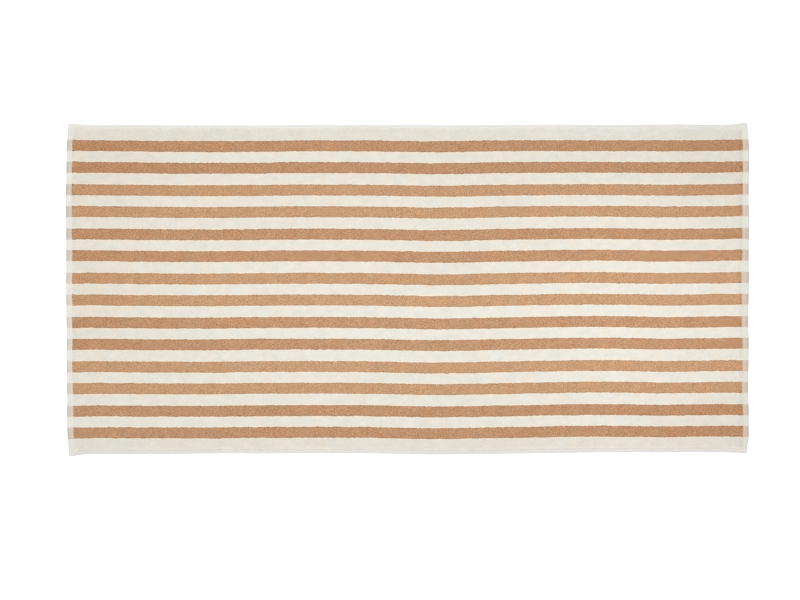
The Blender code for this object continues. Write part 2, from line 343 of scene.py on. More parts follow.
# How light the left-hand end hem and the right-hand one are at a place across the towel, as a share of
# their colour, where the warp is plain and where it is dyed. The difference between the ends is painted
# light and shade: the left-hand end is painted lighter and the right-hand one darker, as the light falls.
HemTone = namedtuple("HemTone", "across left_plain left_dyed right_plain right_dyed")
HEM_TONES = (
    HemTone(-0.33, 0.955, 0.975, 0.93, 0.92),
    HemTone(-0.27, 1.01, 0.98, 0.95, 0.90),
    HemTone(-0.20, 1.01, 1.05, 0.945, 0.915),
    HemTone(-0.13, 1.02, 1.08, 0.955, 0.90),
    HemTone(-0.05, 1.02, 1.085, 0.95, 0.90),
    HemTone(0.02, 1.02, 1.05, 0.96, 0.92),
    HemTone(0.08, 1.01, 0.97, 0.965, 0.90),
    HemTone(0.14, 1.03, 0.945, 0.985, 0.96),
    HemTone(0.20, 1.035, 0.975, 0.995, 0.99),
    HemTone(0.26, 1.015, 0.985, 1.03, 0.985),
    HemTone(0.33, 0.98, 0.985, 1.04, 1.00),
)
# The tint of the plain warp and of the dyed one in the right-hand end hem.
RIGHT_TINTS = {"plain": (0.99, 0.997, 1.012), "dyed": (1.02, 0.98, 1.0)}
WARP_SOFTNESS = 0.4 * MM  # how soft the edges of the dyed warp are in the end hems
PAST_LAST_STRIPE = 2 * MM  # how far into the border the dyed warp may reach there
# How dark the painted shadow line is in the end hems, where the dyed warp stops beside the border, and
# what the painted crease shadow at the near left-hand corner adds. Then how far from the border's edge the
# line is gone, and where it is at its darkest.
SEAM_SHADOW = 0.05
CORNER_CREASE_SHADOW = 0.22
BESIDE_SEAM_SHADOW = (1.4 * MM, 0.5 * MM)
THREAD = (0.82, 0.79, 0.72)

# ---- How the cloth lies ----------------------------------------------------------------


def curve_through(rows, place, column):
    """A table's column on a smooth curve through its rows, at places in the table's first column."""
    places = np.array([row[0] for row in rows])
    values = np.array([getattr(row, column) for row in rows])
    after = np.minimum(np.arange(len(rows)) + 1, len(rows) - 1)
    before = np.maximum(np.arange(len(rows)) - 1, 0)
    slopes = (values[after] - values[before]) / (places[after] - places[before])
    place = np.clip(place, places[0], places[-1])
    here = np.clip(np.searchsorted(places, place, side="right") - 1, 0, len(rows) - 2)
    step = places[here + 1] - places[here]
    share = (place - places[here]) / step
    return (
        values[here] * (1 + 2 * share) * (1 - share) ** 2
        + slopes[here] * step * share * (1 - share) ** 2
        + values[here + 1] * share * share * (3 - 2 * share)
        - slopes[here + 1] * step * share * share * (1 - share)
    )


def fade(distance, reach):
    """1 at no distance, falling softly to 0 at reach."""
    share = np.minimum(np.abs(distance) / reach, 1.0)
    return (1 + np.cos(np.pi * share)) / 2


def spread(spot, along, across):
    """1 in the middle of a swell or a patch, falling softly to 0 as far each way as it reaches."""
    return fade(along - spot.along, spot.reach_along) * fade(across - spot.across, spot.reach_across)


def slide(along, across):
    """How far towards +Y places have slid, in millimetres."""
    far_edge, far, middle, near, near_edge = (
        curve_through(LAY, along, column) for column in Lay._fields[1:]
    )
    side = across / (WIDTH / 2)
    slid = middle + side * (far - near) / 2 + side * side * ((far + near) / 2 - middle)
    slid += (far_edge - far) * fade(across - WIDTH / 2, BORDER)
    slid += (near_edge - near) * fade(across + WIDTH / 2, BORDER)
    return slid


def laid(along, across):
    """Where places on the flat cloth lie on the surface, as (x, y)."""
    x = along.copy()
    y = across + slide(along, across) * MM
    for end, column in ((-1, "left"), (1, "right")):
        drawn_in = curve_through(ENDS, across, column) * MM
        x -= end * drawn_in * fade(along - end * LENGTH / 2, END_REACH)
    for corner in CORNERS:
        before = np.abs(along - corner.end * LENGTH / 2)
        beside = np.abs(across - corner.side * WIDTH / 2)
        on_tab = fade(np.maximum(before - TAB_LENGTH, 0), TAB_STEP) * fade(beside, TAB_ACROSS)
        worn = CORNER_WEAR * fade(before, CORNER_WEAR_REACH) * fade(beside, CORNER_WEAR_REACH)
        x -= corner.end * worn
        y += corner.side * (corner.tab * on_tab * MM - worn)
    return x, y


def lift(along, across):
    """How far the cloth's back is off the surface."""
    return sum(swell.height * MM * spread(swell, along, across) for swell in SWELLS)


def middle_of_outline():
    """The middle of the laid cloth's box, from places close together all along its edge."""
    run = np.linspace(-0.5, 0.5, EDGE_STEPS + 1)
    edge = np.full_like(run, 0.5)
    along = np.concatenate([run, run, edge, -edge]) * LENGTH
    across = np.concatenate([edge, -edge, run, run]) * WIDTH
    x, y = laid(along, across)
    return (x.min() + x.max()) / 2, (y.min() + y.max()) / 2


FRAME_MIDDLE = (cad_low + cad_high) / 2
OUTLINE_MIDDLE = middle_of_outline()
SHIFT = (FRAME_MIDDLE.x - OUTLINE_MIDDLE[0], FRAME_MIDDLE.y - OUTLINE_MIDDLE[1])


def patchy(along, across, size, seed):
    """A smooth uneven field from -1 to 1 over the cloth, in patches of about that size."""
    spare = 2  # how many patches the field goes on for, past the cloth's edges
    columns = math.ceil(LENGTH / size) + 2 * spare
    rows = math.ceil(WIDTH / size) + 2 * spare
    lattice = np.random.default_rng(seed).uniform(-1, 1, (columns + 1, rows + 1))
    u = np.clip((along + LENGTH / 2) / size + spare, 0, columns - TINY)
    v = np.clip((across + WIDTH / 2) / size + spare, 0, rows - TINY)
    column, row = u.astype(int), v.astype(int)
    u, v = (share * share * (3 - 2 * share) for share in (u - column, v - row))
    low = lattice[column, row] * (1 - u) + lattice[column + 1, row] * u
    high = lattice[column, row + 1] * (1 - u) + lattice[column + 1, row + 1] * u
    return low * (1 - v) + high * v


def uneven(along, across, layers, seed):
    """How far some layers of patches move places, in metres."""
    return sum(
        layer.amount * patchy(along, across, layer.size, seed + step)
        for step, layer in enumerate(layers)
    )


# ---- Working on pieces -----------------------------------------------------------------


def pick(piece):
    """Makes a piece the only one selected, and the active one."""
    bpy.ops.object.select_all(action="DESELECT")
    piece.select_set(True)
    bpy.context.view_layer.objects.active = piece


def points_of(piece):
    found = np.empty(len(piece.data.vertices) * 3)
    piece.data.vertices.foreach_get("co", found)
    return found.reshape(-1, 3)


def set_points(piece, points):
    piece.data.vertices.foreach_set("co", np.asarray(points, np.float32).ravel())
    piece.data.update()


def corners_of(piece):
    """For each corner of each face: its vertex and its face."""
    mesh = piece.data
    vertex = np.empty(len(mesh.loops), np.int32)
    mesh.loops.foreach_get("vertex_index", vertex)
    sides = np.empty(len(mesh.polygons), np.int32)
    mesh.polygons.foreach_get("loop_total", sides)
    return vertex, np.repeat(np.arange(len(sides)), sides)


def mean_by_face(face, values):
    return np.bincount(face, values) / np.bincount(face)


def within(band, share):
    """The place in a band that a share from 0 to 1 stands for."""
    return band.low + (band.high - band.low) * share


def set_texture_map(piece, u, v):
    name = "OFBake"
    layer = piece.data.uv_layers.get(name) or piece.data.uv_layers.new(name=name)
    layer.uv.foreach_set("vector", np.stack([u, v], 1).astype(np.float32).ravel())


def cut(piece, chosen, cuts):
    """Cuts the piece's edges that chosen picks, and the faces between them."""
    pick(piece)
    bpy.ops.object.mode_set(mode="EDIT")
    bpy.ops.mesh.select_mode(type="EDGE")
    bpy.ops.mesh.select_all(action="DESELECT")
    work = bmesh.from_edit_mesh(piece.data)
    for edge in work.edges:
        edge.select_set(chosen(*(corner.co for corner in edge.verts)))
    bmesh.update_edit_mesh(piece.data)
    bpy.ops.mesh.subdivide(number_cuts=cuts)
    bpy.ops.object.mode_set(mode="OBJECT")


def note(piece, name, values):
    """Stores a number for each point, or three, for the piece's material."""
    values = np.asarray(values, np.float32)
    kind, field = ("FLOAT", "value") if values.ndim == 1 else ("FLOAT_VECTOR", "vector")
    made = piece.data.attributes.new(name, kind, "POINT")
    made.data.foreach_set(field, values.ravel())


def joined(name, parts):
    """The parts made one piece of that name."""
    pick(parts[0])
    for part in parts[1:]:
        part.select_set(True)
    if len(parts) > 1:
        bpy.ops.object.join()
    parts[0].name = parts[0].data.name = name
    return parts[0]


def lay_out(piece):
    """Moves a piece from the flat cloth's measures to where the cloth lies, and notes those measures."""
    flat = points_of(piece)
    note(piece, "cloth_place", flat)
    along, across, level = flat.T
    x, y = laid(along, across)
    set_points(piece, np.stack([x + SHIFT[0], y + SHIFT[1], level + lift(along, across)], 1))
    return piece


def finish_piece(piece, material, smooth_under=60):
    piece.data.materials.clear()
    piece.data.materials.append(material)
    pick(piece)
    bpy.ops.object.shade_smooth_by_angle(angle=math.radians(smooth_under))
    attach(piece, "root")
    return piece


# ---- Shader groups and materials -------------------------------------------------------


def put(tree, socket, value):
    """Gives a socket a value, or what another socket sends."""
    if isinstance(value, bpy.types.NodeSocket):
        tree.links.new(value, socket)
    elif isinstance(value, tuple) and socket.type == "RGBA":
        socket.default_value = (*value, 1.0)
    else:
        socket.default_value = value


def maths(tree, operation, *values):
    node = tree.nodes.new("ShaderNodeMath")
    node.operation = operation
    for socket, value in zip(node.inputs, values):
        put(tree, socket, value)
    return node.outputs[0]


def apart(tree, first, second):
    """How far apart two numbers are."""
    return maths(tree, "ABSOLUTE", maths(tree, "SUBTRACT", first, second))


def ranged(tree, value, low, high, to_low=0.0, to_high=1.0):
    """The value carried softly from one range to another, and held inside it."""
    node = tree.nodes.new("ShaderNodeMapRange")
    node.interpolation_type = "SMOOTHSTEP"
    names = ("Value", "From Min", "From Max", "To Min", "To Max")
    for name, given in zip(names, (value, low, high, to_low, to_high)):
        put(tree, node.inputs[name], given)
    return node.outputs["Result"]


def swayed(tree, unevenness, amount, level):
    """A level, moved up and down by noise from 0 to 1."""
    move = maths(tree, "MULTIPLY", maths(tree, "SUBTRACT", unevenness, 0.5), amount)
    return maths(tree, "ADD", move, level)


def mixed(tree, factor, first, second, blend="MIX"):
    """Two colours mixed. The node has other sockets of the same names, so these go by their places."""
    node = tree.nodes.new("ShaderNodeMix")
    node.data_type = "RGBA"
    node.blend_type = blend
    put(tree, node.inputs[0], factor)
    put(tree, node.inputs[6], first)
    put(tree, node.inputs[7], second)
    return node.outputs[2]


def times(tree, first, second):
    """Two colours multiplied."""
    return mixed(tree, 1.0, first, second, "MULTIPLY")


def grey(tree, value):
    """A grey of that value, as a colour."""
    node = tree.nodes.new("ShaderNodeCombineColor")
    for socket in node.inputs:
        put(tree, socket, value)
    return node.outputs[0]


def darkened(tree, colour, darkness):
    return times(tree, colour, grey(tree, maths(tree, "SUBTRACT", 1.0, darkness)))


def stretched(tree, place, scale):
    node = tree.nodes.new("ShaderNodeVectorMath")
    node.operation = "MULTIPLY"
    put(tree, node.inputs[0], place)
    node.inputs[1].default_value = scale
    return node.outputs[0]


def noise(tree, place, size, detail=1.0, shape=(1, 1, 1)):
    """Noise whose patches are about that size in metres, longer where shape is under 1."""
    node = tree.nodes.new("ShaderNodeTexNoise")
    put(tree, node.inputs["Vector"], stretched(tree, place, shape))
    node.inputs["Scale"].default_value = 1 / size
    node.inputs["Detail"].default_value = detail
    return node.outputs["Fac"]


def cells(tree, place, size, shape):
    """How far places are from the middle of the nearest loop, stretched like the noise."""
    node = tree.nodes.new("ShaderNodeTexVoronoi")
    put(tree, node.inputs["Vector"], stretched(tree, place, shape))
    node.inputs["Scale"].default_value = 1 / size
    return node.outputs["Distance"]


def parts_of(tree, place):
    node = tree.nodes.new("ShaderNodeSeparateXYZ")
    put(tree, node.inputs[0], place)
    return node.outputs


def carried(tree, name, output="Color"):
    """What the piece's points carry under that name: a colour, a number (Fac) or a place (Vector)."""
    node = tree.nodes.new("ShaderNodeAttribute")
    node.attribute_name = name
    return node.outputs[output]


def new_group(name, inputs, outputs):
    """An empty shader group with those sockets; returns it with what it is given and what it sends."""
    group = bpy.data.node_groups.new(name, "ShaderNodeTree")
    for in_out, sockets in (("INPUT", inputs), ("OUTPUT", outputs)):
        for socket, kind in sockets.items():
            group.interface.new_socket(socket, in_out=in_out, socket_type=f"NodeSocket{kind}")
    return group, group.nodes.new("NodeGroupInput").outputs, group.nodes.new("NodeGroupOutput").inputs


def placed(tree, group, **given):
    """Puts a shader group in a tree with those inputs, and returns its outputs."""
    node = tree.nodes.new("ShaderNodeGroup")
    node.node_tree = group
    for name, value in given.items():
        put(tree, node.inputs[name], value)
    return node.outputs


SURFACE = {"Color": "Color", "Height": "Float", "Roughness": "Float"}  # what both kinds of cloth send


def wash_wear_group():
    """The slow unevenness that washing leaves in any of the towel's cloth, as a factor near 1."""
    inputs = {"Place": "Vector", "Amount": "Float"}
    group, given, sent = new_group("wash_wear", inputs, {"Factor": "Float"})
    broad = noise(group, given["Place"], BROAD_WEAR, detail=1.5, shape=(0.7, 1, 1))
    close = noise(group, given["Place"], CLOSE_WEAR, detail=2.0, shape=(0.55, 1, 1))
    centred = maths(group, "SUBTRACT", maths(group, "ADD", broad, close), 1.0)
    put(group, sent["Factor"], maths(group, "MULTIPLY_ADD", centred, given["Amount"], 1.0))
    return group


def looped_pile_group(wear):
    """Terry: round loops that lean about, some lighter than others, singly and in clumps. The darker loops
    are partly painted shade, standing for the shade in the gaps between loops.
    """
    inputs = {
        "Place": "Vector",
        "Light": "Color",
        "Dark": "Color",
        "Single": "Float",
        "Clump": "Float",
        "Drift": "Float",
        "Rim": "Color",
        "Inside": "Float",
        "Tint": "Color",
        "Wear": "Float",
    }
    group, given, sent = new_group("looped_pile", inputs, SURFACE)
    place = given["Place"]
    dome = ranged(group, cells(group, place, LOOP_TOP, shape=(0.9, 1, 0.7)), low=0.95, high=0.12)
    single = noise(group, place, SINGLE_LOOP, detail=0.0, shape=(1, 1, 0.3))
    clump = noise(group, place, LOOP_CLUMP, shape=(0.75, 1, 0.6))
    patch = noise(group, place, LOOP_PATCH, detail=2.0)
    # The mix of dark and light loops is partly painted shade: a random speckle for the shade in the gaps
    # between loops.
    lightness = swayed(group, single, given["Single"], swayed(group, clump, given["Clump"], 0.5))
    warmth = ranged(group, swayed(group, patch, given["Drift"], 0.5), low=0.3, high=0.7)
    coloured = mixed(group, lightness, given["Dark"], given["Light"])
    coloured = times(group, coloured, mixed(group, warmth, COOLER, WARMER))
    # The rim tint: the other yarn's colour mixed in, with painted light on the ecru's rim and painted shade
    # on the dyed yarns' rim.
    at_rim = ranged(group, given["Inside"], low=1.25 * RIM, high=0.75 * RIM)
    coloured = mixed(group, at_rim, coloured, times(group, coloured, given["Rim"]))
    worn = placed(group, wear, Place=place, Amount=given["Wear"])
    tint = times(group, given["Tint"], grey(group, worn["Factor"]))
    put(group, sent["Color"], times(group, coloured, tint))
    put(group, sent["Height"], maths(group, "MULTIPLY_ADD", clump, 0.35, dome))
    put(group, sent["Roughness"], ranged(group, dome, low=0.0, high=1.0, to_low=1.0, to_high=0.86))
    return group


def dyed_warp_group():
    """Where the dyed yarns run, by how far across the cloth a place is."""
    group, given, sent = new_group("dyed_warp", {"Across": "Float"}, {"Dyed": "Float"})
    repeat = PAIR + GAP_BETWEEN_PAIRS
    from_pair = maths(group, "WRAP", given["Across"], repeat / 2, -repeat / 2)
    from_stripe = apart(group, maths(group, "ABSOLUTE", from_pair), (STRIPE + GAP_IN_PAIR) / 2)
    inside = ranged(group, from_stripe, STRIPE / 2 + WARP_SOFTNESS, STRIPE / 2 - WARP_SOFTNESS)
    last = WIDTH / 2 - BORDER + PAST_LAST_STRIPE
    before_last = maths(group, "LESS_THAN", maths(group, "ABSOLUTE", given["Across"]), last)
    put(group, sent["Dyed"], maths(group, "MULTIPLY", inside, before_last))
    return group


def flat_weave_group(wear):
    """Plain weave: fine threads over and under each other, with slubs, and painted shade between the
    threads.
    """
    inputs = {"Place": "Vector", "Color": "Color", "Thread": "Float", "Wear": "Float"}
    group, given, sent = new_group("flat_weave", inputs, SURFACE)
    place = parts_of(group, given["Place"])
    turn = maths(group, "DIVIDE", math.pi, given["Thread"])
    warp = maths(group, "SINE", maths(group, "MULTIPLY", place["X"], turn))
    weft = maths(group, "SINE", maths(group, "MULTIPLY", place["Y"], turn))
    crossing = maths(group, "MULTIPLY_ADD", maths(group, "MULTIPLY", warp, weft), 0.5, 0.5)
    slub = noise(group, given["Place"], SLUB, detail=2.0, shape=(0.35, 1, 1))
    slubbed = ranged(group, slub, low=0.25, high=0.75, to_low=0.96, to_high=1.04)
    worn = placed(group, wear, Place=given["Place"], Amount=given["Wear"])
    # Painted shade in the hollows between the threads.
    tone = maths(group, "MULTIPLY_ADD", crossing, HOLLOW_SHADE, 1 - HOLLOW_SHADE)
    tone = maths(group, "MULTIPLY", maths(group, "MULTIPLY", tone, slubbed), worn["Factor"])
    put(group, sent["Color"], times(group, given["Color"], grey(group, tone)))
    put(group, sent["Height"], maths(group, "MULTIPLY_ADD", slub, 0.6, crossing))
    put(group, sent["Roughness"], ranged(group, crossing, low=0.0, high=1.0, to_low=0.95, to_high=0.8))
    return group


def cloth_material(name, group, bump_height, **given):
    """A cotton material that wears a shader group. What the group is given is a value, or a function that
    builds it in the material from the cloth's measures."""
    made = bpy.data.materials.new(name)
    made.use_nodes = True
    tree = made.node_tree
    shader = tree.nodes["Principled BSDF"]
    place = carried(tree, "cloth_place", "Vector")
    given = {socket: value(tree, place) if callable(value) else value for socket, value in given.items()}
    worn = placed(tree, group, Place=place, **given)
    bump = tree.nodes.new("ShaderNodeBump")
    bump.inputs["Strength"].default_value = 0.8
    bump.inputs["Distance"].default_value = bump_height
    put(tree, bump.inputs["Height"], worn["Height"])
    put(tree, shader.inputs["Base Color"], worn["Color"])
    put(tree, shader.inputs["Roughness"], worn["Roughness"])
    put(tree, shader.inputs["Normal"], bump.outputs["Normal"])
    shader.inputs["Specular IOR Level"].default_value = 0.2
    shader.inputs["Sheen Weight"].default_value = 0.15
    shader.inputs["Sheen Roughness"].default_value = 0.5
    return made


def inside_strip(tree, _):
    """How far inside its strip a loop stands."""
    return carried(tree, "inside", "Fac")


def pile_tint(tree, place):
    """The tint that the pile's points carry, darker along the shadow line beside the near side hem."""
    place = parts_of(tree, place)
    squared = maths(tree, "POWER", maths(tree, "SUBTRACT", place["X"], SHADOW_STATION), 2.0)
    line = maths(tree, "MULTIPLY_ADD", squared, SHADOW_BOW, SHADOW_PLACE - WIDTH / 2)
    on_line = ranged(tree, apart(tree, place["Y"], line), SHADOW_REACH, 0.0)
    darkness = maths(tree, "MULTIPLY_ADD", squared, SHADOW_DEEPENING, SHADOW)
    return darkened(tree, carried(tree, "tint"), maths(tree, "MULTIPLY", darkness, on_line))


def hem_colour(tree, place):
    """Flat weave from the fold to the pile, where the warp is plain and where dyed yarns run through it."""
    place = parts_of(tree, place)
    to_end = maths(tree, "SUBTRACT", LENGTH / 2, maths(tree, "ABSOLUTE", place["X"]))
    to_side = maths(tree, "SUBTRACT", WIDTH / 2, maths(tree, "ABSOLUTE", place["Y"]))
    past_fold = ranged(tree, maths(tree, "MINIMUM", to_end, to_side), *PAST_FOLD)
    is_left = maths(tree, "LESS_THAN", place["X"], 0)
    is_near = maths(tree, "LESS_THAN", place["Y"], 0)

    # These colours hold painted shade at the end hems' folds and in the middle of the near side hem.
    def coloured(hem, beside_pile):
        """A hem from its fold to the pile."""
        return mixed(tree, beside_pile, mixed(tree, past_fold, hem.fold, hem.middle), hem.inner)

    beside_end_pile = ranged(tree, to_end, *BESIDE_END_PILE)
    # The noted tones hold painted light and shade: the left-hand end hem lighter, the right-hand one
    # darker.
    plain = times(tree, coloured(PLAIN_HEM, beside_end_pile), carried(tree, "plain_tone"))
    dyed = times(tree, coloured(DYED_HEM, beside_end_pile), carried(tree, "dyed_tone"))
    warp = placed(tree, dyed_warp_group(), Across=place["Y"])
    at_end = mixed(tree, warp["Dyed"], plain, dyed)
    # Painted shadow: a thin dark line in the end hems where the dyed warp stops, deepest in the near
    # left-hand corner's crease.
    on_seam_shadow = ranged(tree, apart(tree, to_side, BORDER), *BESIDE_SEAM_SHADOW)
    at_corner = maths(tree, "MULTIPLY", is_left, is_near)
    darkness = maths(tree, "MULTIPLY_ADD", at_corner, CORNER_CREASE_SHADOW, SEAM_SHADOW)
    at_end = darkened(tree, at_end, maths(tree, "MULTIPLY", darkness, on_seam_shadow))

    beside_side_pile = ranged(tree, to_side, *BESIDE_SIDE_PILE)
    far_side = coloured(FAR_SIDE, beside_side_pile)
    near_side = coloured(NEAR_SIDE, beside_side_pile)
    at_side = mixed(tree, is_near, far_side, near_side)
    return mixed(tree, ranged(tree, to_side, *PAST_SIDE_HEM), at_side, at_end)


def dye_materials():
    """The towel's materials: one for each yarn's pile, one for the hems and one for the stitches."""
    wear = wash_wear_group()
    pile = looped_pile_group(wear)
    weave = flat_weave_group(wear)
    made = {
        name: cloth_material(
            f"{name}_terry",
            pile,
            bump_height=0.45 * MM,
            Light=yarn.light,
            Dark=yarn.dark,
            Single=yarn.single,
            Clump=yarn.clump,
            Drift=yarn.drift,
            Rim=yarn.rim,
            Inside=inside_strip,
            Tint=pile_tint,
            Wear=0.04,
        )
        for name, yarn in YARNS.items()
    }
    made["hem"] = cloth_material(
        "hem_weave", weave, bump_height=0.12 * MM, Color=hem_colour, Thread=0.55 * MM, Wear=0.05
    )
    made["thread"] = cloth_material(
        "sewing_thread", weave, bump_height=0.05 * MM, Color=THREAD, Thread=0.25 * MM, Wear=0.03
    )
    return made


# ---- The ground cloth and its hems -----------------------------------------------------


def from_edges(along, across):
    """How far places are from the nearer end and from the nearer side."""
    return LENGTH / 2 - np.abs(along), WIDTH / 2 - np.abs(across)


def groove(to_edge, stitches, depth):
    """How deep the stitches pull a hem in, at places that far from its fold."""
    return depth * np.exp(-(((to_edge - stitches * MM) / GROOVE_WIDTH) ** 2))


def inside_rim(along, across):
    """0 at the hems' fold, rising to 1 where their rounded rim ends."""
    return np.clip(np.minimum(*from_edges(along, across)) / RIM_REACH, 0, 1)


def fullness(inside):
    """How full a hem is, from 0 to 1, by how far inside its rim a place is."""
    return np.sqrt(np.maximum(1 - (1 - inside) ** 2, BLUNTNESS))


def hem_face(along, across):
    """The height of the hems' upper face, with the groove that the stitches pull in it and its puckers."""
    to_end, to_side = from_edges(along, across)
    inside = inside_rim(along, across)
    pulled = np.maximum(
        groove(to_end, END_STITCHES, END_GROOVE), groove(to_side, SIDE_STITCHES, SIDE_GROOVE)
    )
    puckers = uneven(along, across, HEM_UNEVENNESS, SEEDS["hem"]) * inside
    return HEM_THICKNESS / 2 * (1 + fullness(inside)) - pulled + puckers


def cloth_faces(along, across):
    """The heights of the ground cloth's back and face: the hems', or those under the pile."""
    to_end, to_side = from_edges(along, across)
    covered = np.clip(np.minimum(to_end - END_HEM, to_side - SIDE_HEM) / STEP_REACH, 0, 1)
    back = HEM_THICKNESS / 2 * (1 - fullness(inside_rim(along, across)))
    face = hem_face(along, across)
    return (
        back * (1 - covered) + GROUND.low * covered,
        face * (1 - covered) + GROUND.high * covered,
    )


def cloth_lines(half, hem, stitches, *more):
    """The places of the grid's lines from one edge of the cloth to the other, in metres from its middle."""
    grooved = [stitches + line for line in GROOVE_LINES]
    edge = sorted([*RIM_LINES, *grooved, hem / MM, (hem + STEP_REACH) / MM, *more])
    edge = [half - line * MM for line in edge]
    spans = round(2 * edge[-1] / GROUND_SPACING)
    inner = np.linspace(-edge[-1], edge[-1], spans + 1)
    return np.concatenate([-np.array(edge[:-1]), inner, edge[-2::-1]])


def map_share(place, half, hem):
    """A place as a share of the texture map, which gives the hems more than their share of room."""
    inner = half - hem - STEP_REACH
    shares = [MAP_MARGIN, HEM_ROOM, 1 - HEM_ROOM, 1 - MAP_MARGIN]
    return np.interp(place, [-half, -inner, inner, half], shares)


def weave_ground_cloth(materials):
    """The woven sheet with its hems: a grid, made a slab, then shaped to the hems' section."""
    tab = [(TAB_LENGTH + TAB_STEP * share) / MM for share in (0, 0.5, 1)]
    along = cloth_lines(LENGTH / 2, END_HEM, END_STITCHES, *tab)
    across = cloth_lines(WIDTH / 2, SIDE_HEM, SIDE_STITCHES)
    spans_along, spans_across = len(along) - 1, len(across) - 1
    bpy.ops.object.select_all(action="DESELECT")
    bpy.ops.mesh.primitive_grid_add(x_subdivisions=spans_along, y_subdivisions=spans_across, size=1)
    cloth = bpy.context.object
    thicken = cloth.modifiers.new("thicken", "SOLIDIFY")
    thicken.thickness = 0.1  # any will do, because the face's and the back's own heights follow
    thicken.offset = 0
    bpy.ops.object.modifier_apply(modifier=thicken.name)
    slab = points_of(cloth)
    along = along[np.rint((slab[:, 0] + 0.5) * spans_along).astype(int)]
    across = across[np.rint((slab[:, 1] + 0.5) * spans_across).astype(int)]
    is_face = slab[:, 2] > 0
    back, face = cloth_faces(along, across)
    set_points(cloth, np.stack([along, across, np.where(is_face, face, back)], 1))

    vertex, polygon = corners_of(cloth)
    u = map_share(along, LENGTH / 2, END_HEM)[vertex]
    v = map_share(across, WIDTH / 2, SIDE_HEM)[vertex]
    faces_up = mean_by_face(polygon, is_face[vertex])[polygon] == 1
    set_texture_map(cloth, u, np.where(faces_up, within(CLOTH_FACE, v), within(CLOTH_BACK, v)))

    joined("towel_cloth", [cloth])
    # The end hems' tones, with painted light on the left-hand end and painted shade on the right-hand one.
    rightward = np.clip(along / LENGTH + 0.5, 0, 1)[:, None]
    for warp, tint in RIGHT_TINTS.items():
        left, right = (
            curve_through(HEM_TONES, across, f"{end}_{warp}")[:, None] for end in ("left", "right")
        )
        note(cloth, f"{warp}_tone", left * (1 - rightward) + right * tint * rightward)
    lay_out(cloth)
    finish_piece(cloth, materials["hem"])
    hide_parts("towel")
    return cloth


# ---- The pile --------------------------------------------------------------------------

# A strip of pile lies between two places across the cloth, in one yarn. Its edge is bare where it ends at a
# side hem: -1 on its near side, 1 on its far side, 0 on neither.
Strip = namedtuple("Strip", "low high yarn bare")
# How light a yarn's strips are in the middle of the cloth, as a share of its colour, and how much less they
# are at the sides.
TONES = {"ecru": (1.003, 0.015), "clay": (1.009, 0.045), "sand": (1.004, 0.03)}
# The same for the two borders' pile, at a station along the towel, and the near one's tint.
BorderTone = namedtuple("BorderTone", "station near far")
BORDER_TONES = (
    BorderTone(-0.70, 0.95, 0.97),
    BorderTone(-0.38, 0.945, 0.943),
    BorderTone(0.00, 0.948, 0.955),
    BorderTone(0.35, 0.945, 0.962),
    BorderTone(0.70, 0.97, 0.99),
)
NEAR_TINT = np.array((1.005, 0.992, 0.987))


def pile_strips():
    """All strips of pile, from the near side of the towel to the far one."""
    near, far = -WIDTH / 2, WIDTH / 2
    found = [Strip(near + SIDE_HEM, near + BORDER, "ecru", -1)]
    for pair in range(PAIRS):
        start = near + BORDER + pair * (PAIR + GAP_BETWEEN_PAIRS)
        yarn = "clay" if pair % 2 == 0 else "sand"
        found.append(Strip(start, start + STRIPE, yarn, 0))
        found.append(Strip(start + STRIPE, start + STRIPE + GAP_IN_PAIR, "ecru", 0))
        found.append(Strip(start + STRIPE + GAP_IN_PAIR, start + PAIR, yarn, 0))
        if pair < PAIRS - 1:
            found.append(Strip(start + PAIR, start + PAIR + GAP_BETWEEN_PAIRS, "ecru", 0))
    found.append(Strip(far - BORDER, far - SIDE_HEM, "ecru", 1))
    return found


def model_strip():
    """One strip of pile, 1 long, 1 wide and 1 high: a box cut into columns and rows."""
    bpy.ops.object.select_all(action="DESELECT")
    bpy.ops.mesh.primitive_cube_add(size=1)
    strip = bpy.context.object

    def runs_along(a, b):
        return abs(a.x - b.x) > TINY

    def runs_across(a, b, side):
        return abs(a.y - b.y) > TINY and a.z * side > 0 and b.z * side > 0

    for cuts in COLUMN_CUTS:
        cut(strip, runs_along, cuts)
    cut(strip, lambda a, b: runs_across(a, b, 1), FACE_ROWS - 1)
    cut(strip, lambda a, b: runs_across(a, b, -1), BACK_ROWS - 1)
    return strip


def map_strip(piece, place, count):
    """Lays a strip's texture map out as lengths, one under another, in its share of the piece's map."""
    u, v, up = (points_of(piece) + 0.5).T
    vertex, face = corners_of(piece)
    middle_u, middle_v, middle_up = (mean_by_face(face, measure[vertex]) for measure in (u, v, up))
    length = np.clip(np.floor(middle_u * MAP_LENGTHS), 0, MAP_LENGTHS - 1)[face]
    kinds = (
        (middle_up > 1 - TINY, STRIP_FACE, v),
        (middle_v < TINY, STRIP_NEAR, up),
        (middle_up < TINY, STRIP_BACK, v),
        (middle_v > 1 - TINY, STRIP_FAR, up),
    )
    across = np.zeros(len(vertex))
    for chosen, band, share in kinds:
        across = np.where(chosen[face], within(band, share[vertex]), across)
    along = within(ALONG_LENGTH, u[vertex] * MAP_LENGTHS - length)
    is_end = ((middle_u < TINY) | (middle_u > 1 - TINY))[face]
    along = np.where(is_end, within(ALONG_END, up[vertex]), along)
    across = np.where(is_end, within(ACROSS_END, v[vertex]), across)
    set_texture_map(piece, along, (place * MAP_LENGTHS + length + across) / (count * MAP_LENGTHS))


def tone_of(strip, along):
    """How light a strip's pile is at places along it, as a share of its yarn's colour."""
    if strip.bare < 0:
        return curve_through(BORDER_TONES, along, "near")[:, None] * NEAR_TINT
    if strip.bare > 0:
        return curve_through(BORDER_TONES, along, "far")[:, None]
    middle, less = TONES[strip.yarn]
    return middle - less * ((strip.low + strip.high) / WIDTH) ** 2


